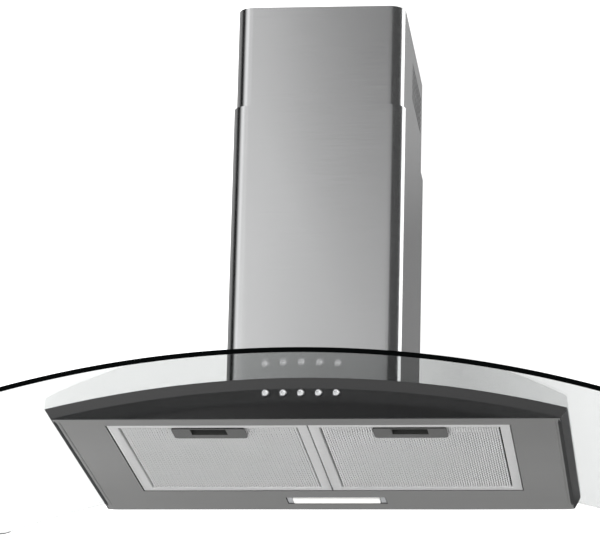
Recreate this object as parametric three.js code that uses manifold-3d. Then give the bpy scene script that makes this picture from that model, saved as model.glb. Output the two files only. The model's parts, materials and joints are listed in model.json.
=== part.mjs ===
// Island range hood: arched glass canopy on a slim steel body, with a two-section telescoping chimney.
// Millimetres. X runs to the right, Y to the back and Z up. Inside this file z = 0 is the plane of the
// bottom panel and y = 0 the face of the fascia. The exported group is shifted so that its origin is the
// centre of the ceiling plate's top face.
import * as THREE from "three";
import { mergeVertices } from "three/addons/utils/BufferGeometryUtils.js";
import Module from "manifold-3d";

const wasm = await Module();
wasm.setup();

// ---------------------------------------------------------------- sizes
const gap = 0.35; // between pieces that touch
const sheet = 1; // steel sheet
const bite = 1; // how far a cutting tool runs past a face, or one joined solid runs into another

// Body
const bodyWidth = 605;
const bodyDepth = 455;
const sideHeight = 12.4;
const sideFlare = 8;
const bodyCornerRadius = 20;

// Glass canopy, an arch about the Y direction
const glassWidth = 900;
const glassThickness = 6;
const glassRadius = 1300; // underside
const glassFrontOverhang = 112;
const glassRearOverhang = 23;
const glassCornerRadius = 15;
const glassSeatGap = 0.5;
const glassCutoutClearance = 4;
const glassCutoutRadius = 8;
const glassHoleClearance = 1;

// Clamp bars that hold the glass down on the body's roof
const clampLength = 120;
const clampWidth = 18;
const clampThickness = 3;
const clampScrewSpacing = 90;
const clampScrewInset = 11; // from the glass's cutout
const clampScrewReach = 8; // below the roof

// Fascia
const fasciaThickness = 1.2;
const bandHeight = 12.5;
const bandLean = 3;
const bandFacets = 48;
const creaseOverlap = 0.3;

// Chimney
const chimneyWidth = 213;
const chimneyDepth = 300;
const chimneyCornerRadius = 20;
const coverRearRadius = 3;
const coverReturn = 14;
const coverWall = 1;
const coverSlideGap = 1.5; // between the lower section and the upper one inside it
const ceilingHeight = 550;
const lowerCoverTop = 420;
const coverOverlap = 150;
const glassCoverGap = 0.5;
const ventSlotHeight = 3.4;
const ventSlotPitch = 7.1;
const ventSlotCount = 7;
const ventTopMargin = 27;
const ventRearMargin = 22;
const ventLength = 140;

// Ceiling plate and telescopic frame
const ceilingPlateThickness = 3;
const ceilingFlangeHeight = 25;
const ceilingFlangeWall = 1.5;
const ceilingFlangeRearRadius = 0.4;
const anchorHoleRadius = 4.5;
const anchorInsetX = 22;
const anchorInsetY = 16;
const ductHoleRadius = 65;
const frameThickness = 2;
const frameBarWidth = 20;
const frameBarSpacing = 210;
const frameFoot = 20;
const frameCrossBar = 18;
const frameInset = 6; // lower frames' inner face from the blower box's side
const lowerFrameHeight = 230;
const upperFrameLength = 226;
const frameBoltHeight = 160; // above the blower box
const frameTravel = 60;
const boltRadius = 3;
const boltHeadRadius = 6;
const boltHeadHeight = 4;
const boltClearance = 0.4;
const boltEndProud = 2; // shank past the nut

// Blower
const blowerSideClearance = 16.5; // to the chimney's outside
const blowerEndClearance = 30;
const blowerTop = 240;
const blowerWall = 1.2;
const roofLedge = 5; // roof sheet left under the blower box's walls
const outletRadius = 60;
const fanAxisHeight = 152;
const scrollInnerRadius = 60;
const scrollOuterRadius = 84;
const scrollSideClearance = 9.8; // to the capacitor
const scrollFrontClearance = 8;
const scrollTongueAngle = 60;
const inletRadius = 42;
const impellerRadius = 55;
const impellerEndClearance = 5;
const bladeDepth = 9;
const bladeCount = 24;
const bladeThickness = 1.4;
const bladeTwist = 35;
const bladeChord = 7.74;
const wheelRingWidth = 2;
const wheelDiscInset = 0.5;
const hubFront = 8;
const hubRear = 6;
const shaftFront = 12;
const shaftEndGap = 2;
const shaftRadius = 4;
const motorRadius = 34;
const motorStart = 8;
const motorProud = 9; // past the scroll's side
const motorShaftDepth = 20;
const motorCapRadius = 20.4;
const motorCapLength = 8;
const bracketThickness = 2;
const bracketRing = 4;
const bracketArmWidth = 12;
const bracketArmReach = 10; // past the inlet's edge
const capacitorRadius = 14;
const capacitorClearance = 3;
const capacitorHeight = 60;
const capacitorRise = 25; // above the roof's crest
const capacitorLugHeight = 7;

// Outlet collar and back-draught flaps
const collarWall = 1.5;
const collarHeight = 50;
const collarFlange = 8;
const collarLip = 5;
const collarFlangeThickness = 1.5;
const collarLipThickness = 2;
const flapHeight = 22; // axis above the collar's flange
const flapThickness = 1.5;
const flapPinRadius = 2.2;
const flapKnuckleRadius = 4.2;
const flapKnuckleWidth = 10;
const flapEdgeGap = 1;
const flapKnuckleInset = 40; // outer end from the middle
const flapKnuckleGap = 1;

// Control electronics
const junctionWidth = 90;
const junctionDepth = 20;
const junctionHeight = 70;
const junctionBottom = 110;
const junctionWall = 2;
const glandRadius = 8;
const glandHeight = 18;
const glandNutHeight = 7;
const glandDomeInset = 1.6;
const glandBoreRadius = 3.2;

// Filters
const filterSideMargin = 61.75;
const filterFrontMargin = 31;
const filterRearMargin = 101;
const filterGap = 1.5;
const filterThickness = 9;
const filterBottom = 0.6;
const filterBorder = 12;
const filterBayGap = 1.2;
const filterBayFlange = 11;
const railFootWidth = 18;
const railHeight = 7;
const meshRecess = 1.4;
const meshThickness = 6;
const meshSheet = 0.8;
const meshPleat = 10;
const handleWidth = 88;
const handleDepth = 43;
const handleCornerRadius = 5;
const handlePlate = 2.2;
const handleDrop = 0.6; // plate below the bottom plane
const handleFrontMargin = 13.5;
const pocketWidth = 43;
const pocketDepth = 24;
const pocketWall = 1.2;
const latchWidth = 30;
const latchDepth = 7.5;
const latchHeight = 5;
const latchTongue = 14;
const latchTab = 16;
const latchTravel = 3;
const latchRise = 2.4; // above the filter's underside
const latchInset = 2.5; // behind the filter's front edge
const latchFaceStep = 1;
const pocketInset = 1.5; // behind the handle plate's front edge

// Lamp
const lampRearMargin = 31;
const lampOpeningWidth = 128;
const lampOpeningDepth = 34;
const lampLensWidth = 111;
const lampLensDepth = 22;
const lampLensThickness = 3;
const lampLensDrop = 0.8;
const lampHousingHeight = 30;
const lampHousingMargin = 4;
const lampHousingWall = 1;
const lampCornerRadius = 2;
const lampClipGap = 1;
const lampClipInset = 2;
const lampClipHeight = 6;
const bulbRise = 3; // above the housing's middle
const bulbBaseRadius = 5.6;
const bulbBaseLength = 12;
const socketGap = 2;
const socketLength = 15;
const socketWidth = 20;
const socketHeight = 18;
const bulbRadius = 7;
const bulbLength = 84;

// Push buttons
const buttonCount = 5;
const buttonPitch = 21.1;
const buttonRadius = 3.9;
const buttonHoleClearance = 0.45;
const buttonHeight = 31.5;
const buttonRowOffset = -4.6;
const buttonProud = 3;
const buttonTravel = 2.2;
const buttonFlange = 1.3;
const buttonFlangeThickness = 1;
const buttonStemLength = 4;
const buttonStemRadius = 2.34;
const switchBlockDrop = 1; // middle of the block below the buttons' axes
const switchBlockMargin = 16;
const switchBlockHeight = 17;
const switchBlockDepth = 14;
const switchBoardThickness = 1.6;

// ---------------------------------------------------------------- derived places
const sag = (radius, x) => radius - Math.sqrt(radius * radius - x * x);
const crest = sideHeight + sag(glassRadius, bodyWidth / 2 + sideFlare);
const arcCentreZ = crest - glassRadius;
const roofRadius = glassRadius - glassSeatGap;
const glassTopRadius = glassRadius + glassThickness;
const chimneyY = bodyDepth / 2;
const shellFront = fasciaThickness + gap;
const filterWidth = (bodyWidth - 2 * filterSideMargin - filterGap) / 2;
const filterLength = bodyDepth - filterFrontMargin - filterRearMargin;
const filterRear = filterFrontMargin + filterLength;
const lampRear = bodyDepth - lampRearMargin;
const lampY = lampRear - lampOpeningDepth / 2;
const upperWidth = chimneyWidth - 2 * (coverWall + coverSlideGap);
const upperDepth = chimneyDepth - 2 * (coverWall + coverSlideGap);
const upperBottom = lowerCoverTop - coverOverlap;
const blowerWidth = chimneyWidth - 2 * blowerSideClearance;
const blowerDepth = chimneyDepth - 2 * blowerEndClearance;
const capacitorRoom = 2 * (capacitorRadius + capacitorClearance);
const scrollHalfWidth = blowerWidth / 2 - blowerWall - capacitorRoom - scrollSideClearance;
const impellerHalfWidth = scrollHalfWidth - impellerEndClearance;
const motorEnd = scrollHalfWidth + motorProud;
const scrollGrowth = (scrollOuterRadius - scrollInnerRadius) / (360 - scrollTongueAngle);
const scrollFrontRadius = scrollInnerRadius + scrollGrowth * (180 - scrollTongueAngle) + blowerWall;
const blowerFront = chimneyY - blowerDepth / 2 + blowerWall;
const fanY = blowerFront + scrollFrontClearance + scrollFrontRadius;
const lowerFrameOffset = blowerWidth / 2 - frameInset;
const upperFrameOffset = lowerFrameOffset + frameThickness + gap;
const collarBase = blowerTop + gap;
const flapZ = collarBase + flapHeight;

// ---------------------------------------------------------------- solids
function solidOf(geometry) {
  const bare = geometry.index ? geometry.toNonIndexed() : geometry.clone();
  bare.deleteAttribute("normal");
  bare.deleteAttribute("uv");
  const merged = mergeVertices(bare, 1e-4);
  return new wasm.Manifold(new wasm.Mesh({
    numProp: 3,
    vertProperties: new Float32Array(merged.attributes.position.array),
    triVerts: new Uint32Array(merged.index.array),
  }));
}

function geometryOf(solid) {
  const mesh = solid.getMesh();
  const geometry = new THREE.BufferGeometry();
  geometry.setAttribute("position", new THREE.BufferAttribute(new Float32Array(mesh.vertProperties), 3));
  geometry.setIndex(new THREE.BufferAttribute(new Uint32Array(mesh.triVerts), 1));
  return geometry;
}

function box(x0, x1, y0, y1, z0, z1) {
  const geometry = new THREE.BoxGeometry(x1 - x0, y1 - y0, z1 - z0);
  geometry.translate((x0 + x1) / 2, (y0 + y1) / 2, (z0 + z1) / 2);
  return solidOf(geometry);
}

// A rod along one axis, from low to high on that axis; a and b place it on the other two, in X, Y, Z order.
function rod(axis, radius, a, b, low, high, segments = 32) {
  const geometry = new THREE.CylinderGeometry(radius, radius, high - low, segments);
  const middle = (low + high) / 2;
  if (axis === "x") {
    geometry.rotateZ(Math.PI / 2);
    geometry.translate(middle, a, b);
  } else if (axis === "y") {
    geometry.translate(a, middle, b);
  } else {
    geometry.rotateX(Math.PI / 2);
    geometry.translate(a, b, middle);
  }
  return solidOf(geometry);
}

function prism(shape, depth, curveSegments = 12) {
  return new THREE.ExtrudeGeometry(shape, { depth, bevelEnabled: false, curveSegments });
}

// Shape drawn in X and Z, running from y0 to y1.
function prismAlongY(shape, y0, y1, curveSegments) {
  const geometry = prism(shape, y1 - y0, curveSegments);
  geometry.rotateX(Math.PI / 2);
  geometry.translate(0, y1, 0);
  return geometry;
}

// Shape drawn in X and Y, running from z0 to z1.
function prismAlongZ(shape, z0, z1, curveSegments) {
  const geometry = prism(shape, z1 - z0, curveSegments);
  geometry.translate(0, 0, z0);
  return geometry;
}

// Shape drawn in Y and Z, running from x0 to x1.
function prismAlongX(shape, x0, x1, curveSegments) {
  const geometry = prism(shape, x1 - x0, curveSegments);
  const turn = new THREE.Matrix4().makeBasis(
    new THREE.Vector3(0, 1, 0),
    new THREE.Vector3(0, 0, 1),
    new THREE.Vector3(1, 0, 0),
  );
  geometry.applyMatrix4(turn);
  geometry.translate(x0, 0, 0);
  return geometry;
}

// Rectangle with its own radius at the front and at the rear corners.
function roundedPlan(halfWidth, y0, y1, frontRadius, rearRadius) {
  const shape = new THREE.Shape();
  shape.moveTo(-halfWidth + frontRadius, y0);
  shape.lineTo(halfWidth - frontRadius, y0);
  shape.absarc(halfWidth - frontRadius, y0 + frontRadius, frontRadius, -Math.PI / 2, 0, false);
  shape.lineTo(halfWidth, y1 - rearRadius);
  shape.absarc(halfWidth - rearRadius, y1 - rearRadius, rearRadius, 0, Math.PI / 2, false);
  shape.lineTo(-halfWidth + rearRadius, y1);
  shape.absarc(-halfWidth + rearRadius, y1 - rearRadius, rearRadius, Math.PI / 2, Math.PI, false);
  shape.lineTo(-halfWidth, y0 + frontRadius);
  shape.absarc(-halfWidth + frontRadius, y0 + frontRadius, frontRadius, Math.PI, Math.PI * 1.5, false);
  return shape;
}

// Band between two radii about the canopy's arc axis.
function arcBandShape(innerRadius, outerRadius, halfWidth) {
  const half = Math.asin(halfWidth / innerRadius);
  const up = Math.PI / 2;
  const shape = new THREE.Shape();
  shape.absarc(0, arcCentreZ, innerRadius, up + half, up - half, true);
  shape.absarc(0, arcCentreZ, outerRadius, up - half, up + half, false);
  return shape;
}

// Everything below an arc of the canopy, down to lowZ.
function underArc(radius, halfWidth, y0, y1, lowZ = -sideHeight) {
  const half = Math.asin(halfWidth / radius);
  const up = Math.PI / 2;
  const shape = new THREE.Shape();
  shape.moveTo(-halfWidth, lowZ);
  shape.lineTo(halfWidth, lowZ);
  shape.absarc(0, arcCentreZ, radius, up - half, up + half, false);
  return solidOf(prismAlongY(shape, y0, y1, 24));
}

// Plan outline of the body, inset by a wall, as a tall prism.
function bodyPlan(inset, y0, y1) {
  const halfWidth = bodyWidth / 2 + sideFlare - inset;
  const shape = roundedPlan(halfWidth, y0, y1, 0.01, bodyCornerRadius - inset);
  return solidOf(prismAlongZ(shape, -sideHeight, crest + sideHeight, 6));
}

// Flared section of the body under its roof, inset by a wall.
function bodyProfile(inset, radius, y0, y1, lowZ) {
  const slope = sideFlare / sideHeight;
  const highZ = crest + sideHeight;
  const halfAt = (z) => bodyWidth / 2 - inset + slope * z;
  const shape = new THREE.Shape();
  shape.moveTo(-halfAt(lowZ), lowZ);
  shape.lineTo(halfAt(lowZ), lowZ);
  shape.lineTo(halfAt(highZ), highZ);
  shape.lineTo(-halfAt(highZ), highZ);
  const wedge = solidOf(prismAlongY(shape, y0, y1));
  return wedge.intersect(underArc(radius, bodyWidth / 2 + 3 * sideFlare, y0 - 1, y1 + 1, -4 * sideHeight));
}

// ---------------------------------------------------------------- materials
const finish = (color, roughness, metalness, extra = {}) =>
  new THREE.MeshStandardMaterial({ color, roughness, metalness, ...extra });

const brushedSteel = () => finish(0xb4b5b6, 0.35, 1);
const panelSteel = () => finish(0x8d8d8c, 0.4, 1);
const zincSteel = () => finish(0x9a9da0, 0.5, 1);
const darkGloss = () => finish(0x2f3132, 0.12, 0.2);
const clearGlass = () => finish(0xe6eeee, 0.05, 0, { transparent: true, opacity: 0.3 });
const aluminium = () => finish(0xcfcfcc, 0.45, 1);
const greyPlastic = () => finish(0x6a6b6a, 0.5, 0);
const blackPlastic = () => finish(0x1c1c1d, 0.5, 0);
const whitePlastic = () => finish(0xf4f5f2, 0.4, 0);
const chrome = () => finish(0xd8d9da, 0.12, 1);

const hood = new THREE.Group();

function add(name, solid, material) {
  const mesh = new THREE.Mesh(geometryOf(solid), material);
  mesh.name = name;
  hood.add(mesh);
}

// ---------------------------------------------------------------- body
function bodyShell() {
  const outer = bodyProfile(0, roofRadius, shellFront, bodyDepth, 0).intersect(bodyPlan(0, 0, bodyDepth));
  const inner = bodyProfile(sheet, roofRadius - sheet, -sheet, bodyDepth - sheet, -sideHeight)
    .intersect(bodyPlan(sheet, -2 * sheet, bodyDepth - sheet));
  const inletX = blowerWidth / 2 - roofLedge;
  const inletY = blowerDepth / 2 - roofLedge;
  const inlet = box(-inletX, inletX, chimneyY - inletY, chimneyY + inletY, 0, 2 * crest);
  let shell = outer.subtract(inner).subtract(inlet);
  for (const [x, y] of clampScrewPlaces()) {
    shell = shell.subtract(rod("z", boltRadius + boltClearance, x, y, 0, 2 * crest, 16));
  }
  return shell;
}

function bottomPanel() {
  const bayX = filterWidth + filterGap / 2 + filterBayGap;
  const bayFront = filterFrontMargin - filterBayGap;
  const bayRear = filterRear + filterBayGap;
  const half = bodyWidth / 2 - sheet - gap;
  const rear = bodyDepth - sheet - gap;
  const plate = box(-half, half, shellFront, rear, 0, sheet).intersect(bodyPlan(sheet + gap, 0, rear));
  const flange = box(-bayX - sheet, bayX + sheet, bayFront - sheet, bayRear + sheet, 0, filterBayFlange);
  const bay = box(-bayX, bayX, bayFront, bayRear, -sheet, filterBayFlange + sheet);
  const lampX = lampOpeningWidth / 2;
  const lamp = box(-lampX, lampX, lampRear - lampOpeningDepth, lampRear, -sheet, 2 * sheet);
  return plate.add(flange).subtract(bay).subtract(lamp);
}

function centreRail() {
  const bayFront = filterFrontMargin - filterBayGap - sheet;
  const bayRear = filterRear + filterBayGap + sheet;
  const low = filterBayFlange + gap;
  const half = railFootWidth / 2;
  const foot = box(-half, half, bayFront, bayRear, low, low + sheet);
  const web = box(-sheet, sheet, bayFront, bayRear, low, low + railHeight);
  return foot.add(web);
}

// Strip of sheet that follows the arch from the crease to just above the roof and leans forward evenly.
function leaningBand(creaseRadius) {
  const geometry = new THREE.BoxGeometry(2, 1, 1, bandFacets, 1, 1);
  const at = geometry.attributes.position;
  const halfAngle = Math.asin((bodyWidth / 2 + 3 * sideFlare) / roofRadius);
  for (let i = 0; i < at.count; i += 1) {
    const rise = (at.getY(i) + 0.5) * (bandHeight + bite);
    const angle = at.getX(i) * halfAngle;
    const radius = creaseRadius + rise;
    const depth = (0.5 - at.getZ(i)) * fasciaThickness;
    const lean = (bandLean * rise) / bandHeight;
    at.setXYZ(i, radius * Math.sin(angle), depth - lean, arcCentreZ + radius * Math.cos(angle));
  }
  return solidOf(geometry);
}

// Flat lower face and an upper band that follows the arch and leans forward at the top.
function fascia() {
  const creaseRadius = roofRadius - bandHeight;
  const slab = bodyProfile(0, roofRadius, -2 * bandLean, 2 * bandLean, 0);
  const lower = bodyProfile(0, creaseRadius + creaseOverlap, 0, fasciaThickness, 0);
  let plate = lower.add(leaningBand(creaseRadius).intersect(slab));
  for (const x of buttonPlaces()) {
    plate = plate.subtract(rod("y", buttonRadius + buttonHoleClearance, x, buttonHeight, -2, 4, 24));
  }
  return plate;
}

// ---------------------------------------------------------------- glass and its clamps
// side is -1 for the front clamp and 1 for the rear one.
function clampMiddle(side) {
  return chimneyY + side * (blowerDepth / 2 + glassCutoutClearance + clampScrewInset);
}

function clampScrewPlaces() {
  const x = clampScrewSpacing / 2;
  return [-1, 1].flatMap((side) => [[-x, clampMiddle(side)], [x, clampMiddle(side)]]);
}

function glassCanopy() {
  const half = glassWidth / 2;
  const front = -glassFrontOverhang;
  const rear = bodyDepth + glassRearOverhang;
  const arch = solidOf(prismAlongY(arcBandShape(glassRadius, glassTopRadius, half * 1.02), front, rear, 36));
  const plan = roundedPlan(half, front, rear, glassCornerRadius, glassCornerRadius);
  const lowZ = crest - sag(glassRadius, half) - 20;
  const outline = solidOf(prismAlongZ(plan, lowZ, crest + 20, 6));
  const cutX = blowerWidth / 2 + glassCutoutClearance;
  const cutY = blowerDepth / 2 + glassCutoutClearance;
  const cutPlan = roundedPlan(cutX, chimneyY - cutY, chimneyY + cutY, glassCutoutRadius, glassCutoutRadius);
  const cut = solidOf(prismAlongZ(cutPlan, 0, 2 * crest, 4));
  let glass = arch.intersect(outline).subtract(cut);
  for (const [x, y] of clampScrewPlaces()) {
    glass = glass.subtract(rod("z", boltRadius + glassHoleClearance, x, y, 0, 2 * crest, 16));
  }
  return glass;
}

function glassClamp(side) {
  const low = crest + glassThickness + gap;
  const middle = clampMiddle(side);
  const halfX = clampLength / 2;
  const halfY = clampWidth / 2;
  let clamp = box(-halfX, halfX, middle - halfY, middle + halfY, low, low + clampThickness);
  for (const [x, y] of clampScrewPlaces()) {
    const hole = rod("z", boltRadius + boltClearance, x, y, low - bite, low + clampThickness + bite, 16);
    clamp = clamp.subtract(hole);
  }
  return clamp;
}

function clampScrew(x, y) {
  const headLow = crest + glassThickness + clampThickness + 2 * gap;
  const shank = rod("z", boltRadius, x, y, crest - clampScrewReach, headLow + bite, 16);
  const head = rod("z", boltHeadRadius, x, y, headLow, headLow + boltHeadHeight, 6);
  return shank.add(head);
}

// ---------------------------------------------------------------- chimney
function coverTube(width, depth, z0, z1) {
  const y0 = chimneyY - depth / 2;
  const y1 = chimneyY + depth / 2;
  const outer = roundedPlan(width / 2, y0, y1, chimneyCornerRadius, coverRearRadius);
  const wall = coverWall;
  const inner = roundedPlan(
    width / 2 - wall, y0 + wall, y1 - wall, chimneyCornerRadius - wall, coverRearRadius - wall,
  );
  return solidOf(prismAlongZ(outer, z0, z1, 8)).subtract(solidOf(prismAlongZ(inner, z0 - 1, z1 + 1, 8)));
}

function coverFront(width, depth, z0, z1) {
  const seam = width / 2 - coverReturn;
  const rear = chimneyY + depth / 2;
  return coverTube(width, depth, z0, z1).subtract(box(-seam, seam, rear - 10, rear + 1, z0 - 1, z1 + 1));
}

function coverBack(width, depth, z0, z1) {
  const seam = width / 2 - coverReturn - gap;
  const rear = chimneyY + depth / 2;
  return box(-seam, seam, rear - coverWall, rear, z0, z1);
}

// The lower section's foot is cut to the arch of the glass.
function onGlass(solid) {
  const tool = underArc(glassTopRadius + glassCoverGap, chimneyWidth, -bodyDepth, 2 * bodyDepth, -20);
  return solid.subtract(tool);
}

function ventSlots(solid) {
  const rear = chimneyY + upperDepth / 2 - ventRearMargin;
  let cover = solid;
  for (let i = 0; i < ventSlotCount; i += 1) {
    const top = ceilingHeight - ventTopMargin - i * ventSlotPitch;
    const slot = box(-upperWidth, upperWidth, rear - ventLength, rear, top - ventSlotHeight, top);
    cover = cover.subtract(slot);
  }
  return cover;
}

// ---------------------------------------------------------------- ceiling plate and telescopic frame
function ceilingPlate() {
  const halfX = upperWidth / 2 - coverWall - gap;
  const halfY = upperDepth / 2 - coverWall - gap;
  const top = ceilingHeight;
  const radius = chimneyCornerRadius - coverWall - gap;
  const outer = roundedPlan(halfX, chimneyY - halfY, chimneyY + halfY, radius, coverRearRadius - coverWall);
  const flange = ceilingFlangeWall;
  const inner = roundedPlan(
    halfX - flange, chimneyY - halfY + flange, chimneyY + halfY - flange, radius - flange,
    ceilingFlangeRearRadius,
  );
  const under = top - ceilingPlateThickness;
  let plate = solidOf(prismAlongZ(outer, under - ceilingFlangeHeight, top, 8));
  plate = plate.subtract(solidOf(prismAlongZ(inner, under - ceilingFlangeHeight - 1, under, 8)));
  plate = plate.subtract(rod("z", ductHoleRadius, 0, chimneyY, under - 1, top + 1, 48));
  for (const x of [-1, 1]) {
    for (const y of [-1, 1]) {
      const place = [x * (halfX - anchorInsetX), chimneyY + y * (halfY - anchorInsetY)];
      plate = plate.subtract(rod("z", anchorHoleRadius, place[0], place[1], under - 1, top + 1, 16));
    }
  }
  return plate;
}

// Two uprights joined by a cross bar, with a foot at one end. side is -1 on the left and 1 on the right.
function sideFrame(side, offset, z0, z1, footAtTop) {
  const x = (value) => side * value;
  const slab = (a, b, y0, y1, low, high) => {
    const [x0, x1] = [x(a), x(b)].sort((p, q) => p - q);
    return box(x0, x1, y0, y1, low, high);
  };
  const outer = offset + frameThickness;
  const footLow = footAtTop ? z1 - frameThickness : z0;
  const barLow = footAtTop ? z0 : z1 - frameCrossBar;
  const reach = frameBarSpacing / 2 + frameBarWidth / 2;
  let frame = slab(offset, outer, chimneyY - reach, chimneyY + reach, barLow, barLow + frameCrossBar);
  for (const sideY of [-1, 1]) {
    const y = chimneyY + sideY * frameBarSpacing / 2;
    const y0 = y - frameBarWidth / 2;
    const y1 = y + frameBarWidth / 2;
    frame = frame.add(slab(offset, outer, y0, y1, z0, z1));
    frame = frame.add(slab(outer - frameFoot, outer, y0, y1, footLow, footLow + frameThickness));
  }
  return frame;
}

function frameBoltPlaces() {
  return [-1, 1].map((sideY) => chimneyY + sideY * frameBarSpacing / 2);
}

function lowerFrame(side) {
  const low = blowerTop + gap;
  let frame = sideFrame(side, lowerFrameOffset, low, low + lowerFrameHeight, false);
  for (const y of frameBoltPlaces()) {
    const hole = rod("x", boltRadius + boltClearance, y, blowerTop + frameBoltHeight, -200, 200, 16);
    frame = frame.subtract(hole);
  }
  return frame;
}

function upperFrame(side) {
  const top = ceilingHeight - ceilingPlateThickness - gap;
  let frame = sideFrame(side, upperFrameOffset, top - upperFrameLength, top, true);
  const reach = boltRadius + boltClearance;
  const middle = blowerTop + frameBoltHeight;
  for (const y of frameBoltPlaces()) {
    const low = middle - frameTravel - reach;
    frame = frame.subtract(box(-200, 200, y - reach, y + reach, low, middle + frameTravel + reach));
  }
  return frame;
}

function frameBolt(side, y) {
  const z = blowerTop + frameBoltHeight;
  const headStart = upperFrameOffset + frameThickness + gap;
  const nutEnd = lowerFrameOffset - gap;
  const span = (a, b) => [Math.min(side * a, side * b), Math.max(side * a, side * b)];
  const shankEnd = nutEnd - boltHeadHeight - boltEndProud;
  const shank = rod("x", boltRadius, y, z, ...span(shankEnd, headStart + bite), 16);
  const head = rod("x", boltHeadRadius, y, z, ...span(headStart, headStart + boltHeadHeight), 6);
  const nut = rod("x", boltHeadRadius, y, z, ...span(nutEnd - boltHeadHeight, nutEnd), 6);
  return shank.add(head).add(nut);
}

// ---------------------------------------------------------------- blower
function blowerBox() {
  const halfX = blowerWidth / 2;
  const halfY = blowerDepth / 2;
  const wall = blowerWall;
  const outer = box(-halfX, halfX, chimneyY - halfY, chimneyY + halfY, 0, blowerTop);
  const inner = box(
    -halfX + wall, halfX - wall, chimneyY - halfY + wall, chimneyY + halfY - wall, -1, blowerTop - wall,
  );
  const outlet = rod("z", outletRadius, 0, chimneyY, blowerTop - 2 * wall, blowerTop + 1, 48);
  const roof = underArc(roofRadius + gap, blowerWidth, -bodyDepth, 2 * bodyDepth, -20);
  return outer.subtract(inner).subtract(outlet).subtract(roof);
}

// Spiral outline of the fan scroll with its outlet pointing up, grown or shrunk by offset.
function scrollShape(offset, outletTop) {
  const shape = new THREE.Shape();
  const steps = 30;
  const start = scrollTongueAngle;
  for (let i = 0; i <= steps; i += 1) {
    const turn = i / steps;
    const angle = THREE.MathUtils.degToRad(start + (360 - start) * turn);
    const radius = scrollInnerRadius + (scrollOuterRadius - scrollInnerRadius) * turn + offset;
    const y = fanY + radius * Math.cos(angle);
    const z = fanAxisHeight + radius * Math.sin(angle);
    if (i === 0) {
      shape.moveTo(y, z);
    } else {
      shape.lineTo(y, z);
    }
  }
  const tongue = THREE.MathUtils.degToRad(start);
  shape.lineTo(fanY + scrollOuterRadius + offset, outletTop);
  shape.lineTo(fanY + (scrollInnerRadius - offset) * Math.cos(tongue), outletTop);
  return shape;
}

function fanScroll() {
  const wall = blowerWall;
  const top = blowerTop - wall - gap;
  const outer = solidOf(prismAlongX(scrollShape(wall, top), -scrollHalfWidth, scrollHalfWidth));
  const inner = solidOf(prismAlongX(scrollShape(0, top + 5), wall - scrollHalfWidth, scrollHalfWidth - wall));
  const inlets = rod("x", inletRadius, fanY, fanAxisHeight, -60, 60, 40);
  return outer.subtract(inner).subtract(inlets);
}

function impeller() {
  const ringDepth = bladeDepth;
  const inner = impellerRadius - ringDepth;
  const ring = (x0, x1) => rod("x", impellerRadius, fanY, fanAxisHeight, x0, x1, 48)
    .subtract(rod("x", inner, fanY, fanAxisHeight, x0 - 1, x1 + 1, 48));
  const half = wheelRingWidth / 2;
  let wheel = rod("x", impellerRadius - wheelDiscInset, fanY, fanAxisHeight, -half, half, 48);
  wheel = wheel.add(ring(-impellerHalfWidth, -impellerHalfWidth + wheelRingWidth));
  wheel = wheel.add(ring(impellerHalfWidth - wheelRingWidth, impellerHalfWidth));
  for (let i = 0; i < bladeCount; i += 1) {
    const blade = new THREE.BoxGeometry(2 * impellerHalfWidth - bite, bladeChord, bladeThickness);
    blade.rotateX(THREE.MathUtils.degToRad(bladeTwist));
    blade.translate(0, impellerRadius - ringDepth / 2, 0);
    blade.rotateX((2 * Math.PI * i) / bladeCount);
    blade.translate(0, fanY, fanAxisHeight);
    wheel = wheel.add(solidOf(blade));
  }
  const hub = rod("x", 3 * shaftRadius, fanY, fanAxisHeight, -hubFront, hubRear, 24);
  const shaftEnd = motorStart + motorShaftDepth - shaftEndGap;
  const shaft = rod("x", shaftRadius, fanY, fanAxisHeight, -shaftFront, shaftEnd, 24);
  return wheel.add(hub).add(shaft);
}

function motor() {
  const body = rod("x", motorRadius, fanY, fanAxisHeight, motorStart, motorEnd, 40);
  const cap = rod("x", motorCapRadius, fanY, fanAxisHeight, motorEnd - bite, motorEnd + motorCapLength, 32);
  const boreEnd = motorStart + motorShaftDepth;
  const bore = rod("x", shaftRadius + gap, fanY, fanAxisHeight, motorStart - 1, boreEnd, 24);
  return body.add(cap).subtract(bore);
}

function motorBracket() {
  const low = scrollHalfWidth + gap;
  const high = low + bracketThickness;
  const hole = motorRadius + gap;
  const armEnd = inletRadius + bracketArmReach;
  let bracket = rod("x", hole + bracketRing, fanY, fanAxisHeight, low, high, 40);
  for (let i = 0; i < 3; i += 1) {
    const arm = new THREE.BoxGeometry(high - low, armEnd - motorRadius, bracketArmWidth);
    arm.translate((low + high) / 2, (armEnd + motorRadius) / 2, 0);
    arm.rotateX((2 * Math.PI * i) / 3 + Math.PI / 2);
    arm.translate(0, fanY, fanAxisHeight);
    bracket = bracket.add(solidOf(arm));
  }
  return bracket.subtract(rod("x", hole, fanY, fanAxisHeight, low - 1, high + 1, 40));
}

function capacitor() {
  const x = blowerWidth / 2 - blowerWall - capacitorRadius - capacitorClearance;
  const y = blowerFront + capacitorRadius + capacitorClearance;
  const low = crest + capacitorRise;
  const top = low + capacitorHeight;
  const can = rod("z", capacitorRadius, x, y, low, top, 28);
  const lug = rod("z", capacitorRadius / 3, x, y, top - bite, top + capacitorLugHeight, 12);
  return can.add(lug);
}

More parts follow.
